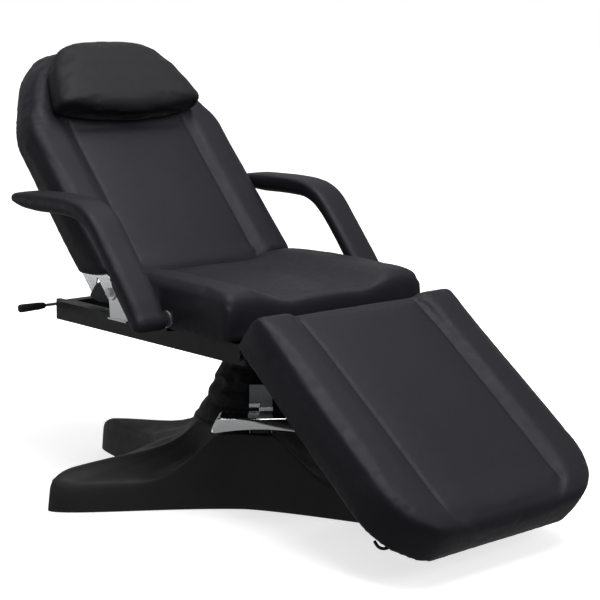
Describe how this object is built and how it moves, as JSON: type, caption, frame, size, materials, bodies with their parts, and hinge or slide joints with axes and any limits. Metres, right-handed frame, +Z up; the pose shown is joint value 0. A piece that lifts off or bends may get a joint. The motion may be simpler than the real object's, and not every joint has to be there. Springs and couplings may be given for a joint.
{
  "type": "facial treatment bed",
  "caption": "Padded treatment couch with a reclining back, a lifting leg rest and swing-up armrests, on a turning hydraulic column with a foot pump and a lobed base.",
  "frame": {"origin": "on the floor under the axis of the hydraulic column, the flat underside of the base pad", "axes": "+Z up, +Y from the seat towards the head end, +X to the right of someone lying face up with the head at +Y being on the side away from the recline lever"},
  "size_m": [1.0246, 1.6373, 1.0849],
  "materials": {
    "leather": "faux leather, fine grain, satin",
    "pillow_leather": "faux leather, fine grain, satin",
    "black_paint": "satin powder coat",
    "cover_plastic": "satin moulded plastic",
    "shroud": "soft wrinkled sleeve",
    "zinc": "bright zinc plating",
    "chrome": "polished chrome",
    "rubber": "matt",
    "plywood": "black-stained plywood"
  },
  "bodies": {
    "base": {"base_pad": "rubber", "base_plate": "black_paint", "base_cover": "cover_plastic", "pump_cylinder": "zinc", "pump_tower": "zinc", "pedal_pin": "chrome", "column_shroud": "shroud"},
    "pedal": {"pedal_tray": "chrome", "pedal_arm": "black_paint"},
    "plunger": {"pump_plunger": "chrome"},
    "lift": {"ram_rod": "chrome", "ram_bearing": "zinc"},
    "frame": {"swivel_plate": "black_paint", "rail_far": "black_paint", "rail_near": "black_paint", "cross_tube_rear": "black_paint", "cross_tube_mid_rear": "black_paint", "cross_tube_mid_front": "black_paint", "cross_tube_front": "black_paint", "seat_board": "plywood", "seat_cushion": "leather", "hinge_plate_far": "zinc", "hinge_plate_near": "zinc", "back_pin_far": "chrome", "back_pin_near": "chrome", "leg_pin_far": "black_paint", "leg_pin_near": "black_paint", "armrest_carrier": "black_paint", "armrest_disc_far": "chrome", "armrest_disc_near": "chrome", "back_pawl_bracket": "zinc", "leg_pawl_bracket": "zinc", "recline_bracket": "black_paint"},
    "backrest": {"back_board": "plywood", "back_cushion": "leather", "head_cushion": "pillow_leather", "back_arm_far": "black_paint", "back_arm_near": "black_paint", "back_strap_far": "zinc", "back_strap_near": "zinc", "back_bracket_far": "zinc", "back_bracket_near": "zinc", "back_cross_bar": "black_paint", "back_sector": "zinc"},
    "leg_rest": {"leg_board": "plywood", "leg_cushion": "leather", "leg_arm_far": "black_paint", "leg_arm_near": "black_paint", "leg_cross_bar": "black_paint", "leg_sector": "zinc", "leg_release_clip": "zinc"},
    "recline_lever": {"recline_rod": "chrome", "recline_grip": "rubber"},
    "back_pawl": {"back_pawl": "black_paint"},
    "leg_release": {"leg_release_lever": "black_paint"},
    "leg_pawl": {"leg_pawl": "black_paint"},
    "armrest_far": {"armrest_far": "leather"},
    "armrest_near": {"armrest_near": "leather"}
  },
  "joints": [
    {"name": "pedal_press", "type": "hinge", "parent": "base", "child": "pedal", "pos_m": [-0.115, -0.13324, 0.208], "axis": [0.757, -0.6534, 0], "range_deg": [0, 14], "stiffness_Nm_per_rad": 20, "springref_deg": -20.05},
    {"name": "plunger_stroke", "type": "slide", "parent": "base", "child": "plunger", "axis": [0, 0, -1], "range_m": [0, 0.004]},
    {"name": "lift_column", "type": "slide", "parent": "base", "child": "lift", "axis": [0, 0, 1], "range_m": [0, 0.2], "deforming": ["column_shroud"]},
    {"name": "seat_swivel", "type": "hinge", "parent": "lift", "child": "frame", "pos_m": [0, 0, 0.387], "axis": [0, 0, 1], "continuous": true},
    {"name": "back_recline", "type": "hinge", "parent": "frame", "child": "backrest", "pos_m": [0, 0.23, 0.493], "axis": [1, 0, 0], "range_deg": [-47, 15]},
    {"name": "leg_lift", "type": "hinge", "parent": "frame", "child": "leg_rest", "pos_m": [0, -0.25, 0.412], "axis": [-1, 0, 0], "range_deg": [0, 37]},
    {"name": "recline_handle", "type": "hinge", "parent": "frame", "child": "recline_lever", "pos_m": [-0.256, 0.49, 0.426], "axis": [0, 1, 0], "range_deg": [0, 12], "stiffness_Nm_per_rad": 3, "springref_deg": -17.19},
    {"name": "back_pawl_pivot", "type": "hinge", "parent": "frame", "child": "back_pawl", "pos_m": [0, 0.437, 0.402], "axis": [-1, 0, 0], "range_deg": [0, 16]},
    {"name": "leg_release_turn", "type": "hinge", "parent": "leg_rest", "child": "leg_release", "pos_m": [-0.23, -0.7243, 0.08333], "axis": [-1, 0, 0], "range_deg": [0, 25], "stiffness_Nm_per_rad": 1, "springref_deg": -17.19},
    {"name": "leg_pawl_pivot", "type": "hinge", "parent": "frame", "child": "leg_pawl", "pos_m": [0, -0.222, 0.316], "axis": [1, 0, 0], "range_deg": [0, 14]},
    {"name": "armrest_far_swing", "type": "hinge", "parent": "frame", "child": "armrest_far", "pos_m": [0.366, -0.032, 0.468], "axis": [1, 0, 0], "range_deg": [0, 65]},
    {"name": "armrest_near_swing", "type": "hinge", "parent": "frame", "child": "armrest_near", "pos_m": [-0.366, -0.032, 0.468], "axis": [1, 0, 0], "range_deg": [0, 65]}
  ],
  "couplings": [
    {"joint": "plunger_stroke", "follows": "pedal_press", "m_per_rad": 0.012},
    {"joint": "back_pawl_pivot", "follows": "recline_handle", "ratio": 1.2},
    {"joint": "leg_pawl_pivot", "follows": "leg_release_turn", "ratio": 0.5}
  ]
}
